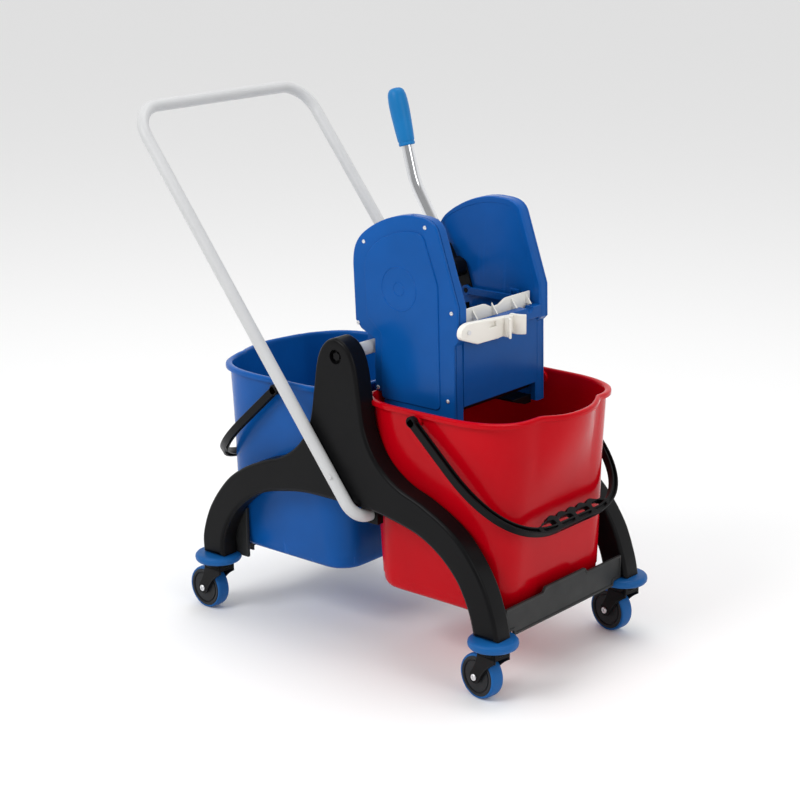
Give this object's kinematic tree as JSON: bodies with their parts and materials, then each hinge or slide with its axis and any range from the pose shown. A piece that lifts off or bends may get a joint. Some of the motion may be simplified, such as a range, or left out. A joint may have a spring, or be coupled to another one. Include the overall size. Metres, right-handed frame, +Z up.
{
  "type": "double-bucket mop trolley with wringer",
  "caption": "Mop trolley with a push handle, four swivel casters, a red and a blue bucket and a blue lever wringer.",
  "frame": {"origin": "on the floor, under the centre of the part's bounding box", "axes": "+X towards the front (red) bucket, +Y towards the trolley's left, +Z up"},
  "size_m": [0.7855, 0.439, 0.8911],
  "materials": {
    "frame_black": "satin black moulded plastic",
    "beam_grey": "dark grey moulded plastic",
    "blue": "blue moulded plastic",
    "tyre_blue": "blue rubber, semi matt",
    "red": "glossy red moulded plastic",
    "white": "white moulded plastic, satin",
    "paint": "pale grey powder coat on steel tube",
    "chrome": "bright chrome",
    "steel": "zinc-plated steel",
    "hub_grey": "dark grey wheel centre"
  },
  "bodies": {
    "chassis": {"side_frame_right": "frame_black", "side_frame_left": "frame_black", "front_beam": "beam_grey", "rear_beam": "beam_grey", "upper_cross_tube": "paint", "push_handle": "paint", "cross_tube_bolt_right": "frame_black", "cross_tube_bolt_left": "frame_black", "handle_clamp_right": "frame_black", "handle_clamp_left": "frame_black", "handle_screw_right": "steel", "handle_screw_left": "steel", "caster_bumper_front_right": "tyre_blue", "caster_bumper_front_left": "tyre_blue", "caster_bumper_rear_right": "tyre_blue", "caster_bumper_rear_left": "tyre_blue"},
    "caster_front_right": {"caster_fork_front_right": "frame_black", "caster_axle_front_right": "steel"},
    "wheel_front_right": {"wheel_hub_front_right": "hub_grey", "wheel_tyre_front_right": "tyre_blue"},
    "caster_front_left": {"caster_fork_front_left": "frame_black", "caster_axle_front_left": "steel"},
    "wheel_front_left": {"wheel_hub_front_left": "hub_grey", "wheel_tyre_front_left": "tyre_blue"},
    "caster_rear_right": {"caster_fork_rear_right": "frame_black", "caster_axle_rear_right": "steel"},
    "wheel_rear_right": {"wheel_hub_rear_right": "hub_grey", "wheel_tyre_rear_right": "tyre_blue"},
    "caster_rear_left": {"caster_fork_rear_left": "frame_black", "caster_axle_rear_left": "steel"},
    "wheel_rear_left": {"wheel_hub_rear_left": "hub_grey", "wheel_tyre_rear_left": "tyre_blue"},
    "rear_bucket_body": {"rear_bucket": "blue"},
    "rear_bail_body": {"rear_bail": "frame_black"},
    "front_bucket_body": {"front_bucket": "red"},
    "front_bail_body": {"front_bail": "frame_black"},
    "wringer": {"wringer_casing_right": "blue", "wringer_casing_left": "blue", "wringer_cover_right": "blue", "wringer_cover_left": "blue", "wringer_hook_right": "blue", "wringer_hook_left": "blue", "wringer_front_wall": "blue", "wringer_rear_wall": "blue", "wringer_drain_grid": "frame_black", "rear_press_plate": "frame_black", "jaw_hinge_rod": "steel", "handle_clip_screw": "steel"},
    "lever": {"lever_tube": "chrome", "lever_grip": "blue", "lever_hub": "frame_black", "lever_washer": "steel", "lever_nut": "steel", "drive_shaft": "steel", "crank_arm_right": "frame_black", "crank_arm_left": "frame_black"},
    "jaw": {"press_plate": "white"},
    "links": {"pull_link_right": "frame_black", "pull_link_left": "frame_black"},
    "clip": {"handle_clip": "white"}
  },
  "joints": [
    {"name": "swivel_front_right", "type": "hinge", "parent": "chassis", "child": "caster_front_right", "pos_m": [0.3532, -0.176, 0.106], "axis": [0, 0, 1], "continuous": true},
    {"name": "roll_front_right", "type": "hinge", "parent": "caster_front_right", "child": "wheel_front_right", "pos_m": [0.32844, -0.17252, 0.037], "axis": [0.1392, 0.9903, 0], "continuous": true},
    {"name": "swivel_front_left", "type": "hinge", "parent": "chassis", "child": "caster_front_left", "pos_m": [0.3532, 0.176, 0.106], "axis": [0, 0, 1], "continuous": true},
    {"name": "roll_front_left", "type": "hinge", "parent": "caster_front_left", "child": "wheel_front_left", "pos_m": [0.32844, 0.17948, 0.037], "axis": [0.1392, 0.9903, 0], "continuous": true},
    {"name": "swivel_rear_right", "type": "hinge", "parent": "chassis", "child": "caster_rear_right", "pos_m": [-0.2448, -0.176, 0.106], "axis": [0, 0, 1], "continuous": true},
    {"name": "roll_rear_right", "type": "hinge", "parent": "caster_rear_right", "child": "wheel_rear_right", "pos_m": [-0.26978, -0.17513, 0.037], "axis": [0.0349, 0.9994, 0], "continuous": true},
    {"name": "swivel_rear_left", "type": "hinge", "parent": "chassis", "child": "caster_rear_left", "pos_m": [-0.2448, 0.176, 0.106], "axis": [0, 0, 1], "continuous": true},
    {"name": "roll_rear_left", "type": "hinge", "parent": "caster_rear_left", "child": "wheel_rear_left", "pos_m": [-0.26978, 0.17687, 0.037], "axis": [0.0349, 0.9994, 0], "continuous": true},
    {"name": "rear_bucket_lift", "type": "slide", "parent": "chassis", "child": "rear_bucket_body", "axis": [-0.1219, 0, 0.9925], "range_m": [0, 0.25]},
    {"name": "rear_bail_hinge", "type": "hinge", "parent": "rear_bucket_body", "child": "rear_bail_body", "pos_m": [-0.0978, 0, 0.421], "axis": [0, 1, 0], "range_deg": [0, 120]},
    {"name": "front_bucket_lift", "type": "slide", "parent": "chassis", "child": "front_bucket_body", "axis": [0, 0, 1], "range_m": [0, 0.45]},
    {"name": "front_bail_hinge", "type": "hinge", "parent": "front_bucket_body", "child": "front_bail_body", "pos_m": [0.1942, 0, 0.421], "axis": [0, -1, 0], "range_deg": [0, 105]},
    {"name": "wringer_lift", "type": "slide", "parent": "front_bucket_body", "child": "wringer", "axis": [0, 0, 1], "range_m": [0, 0.2]},
    {"name": "lever_hinge", "type": "hinge", "parent": "wringer", "child": "lever", "pos_m": [0.0742, 0, 0.605], "axis": [0, 1, 0], "range_deg": [0, 72]},
    {"name": "jaw_hinge", "type": "hinge", "parent": "wringer", "child": "jaw", "pos_m": [0.2122, 0, 0.428], "axis": [0, -1, 0], "range_deg": [0, 23]},
    {"name": "link_hinge", "type": "hinge", "parent": "lever", "child": "links", "pos_m": [0.09195, 0, 0.56694], "axis": [0, -1, 0], "range_deg": [0, 59.76]},
    {"name": "clip_hinge", "type": "hinge", "parent": "wringer", "child": "clip", "pos_m": [0.2402, -0.108, 0.5575], "axis": [1, 0, 0], "range_deg": [0, 90]}
  ],
  "couplings": [
    {"joint": "jaw_hinge", "follows": "lever_hinge", "ratio": 0.31944},
    {"joint": "link_hinge", "follows": "lever_hinge", "ratio": 0.83}
  ]
}
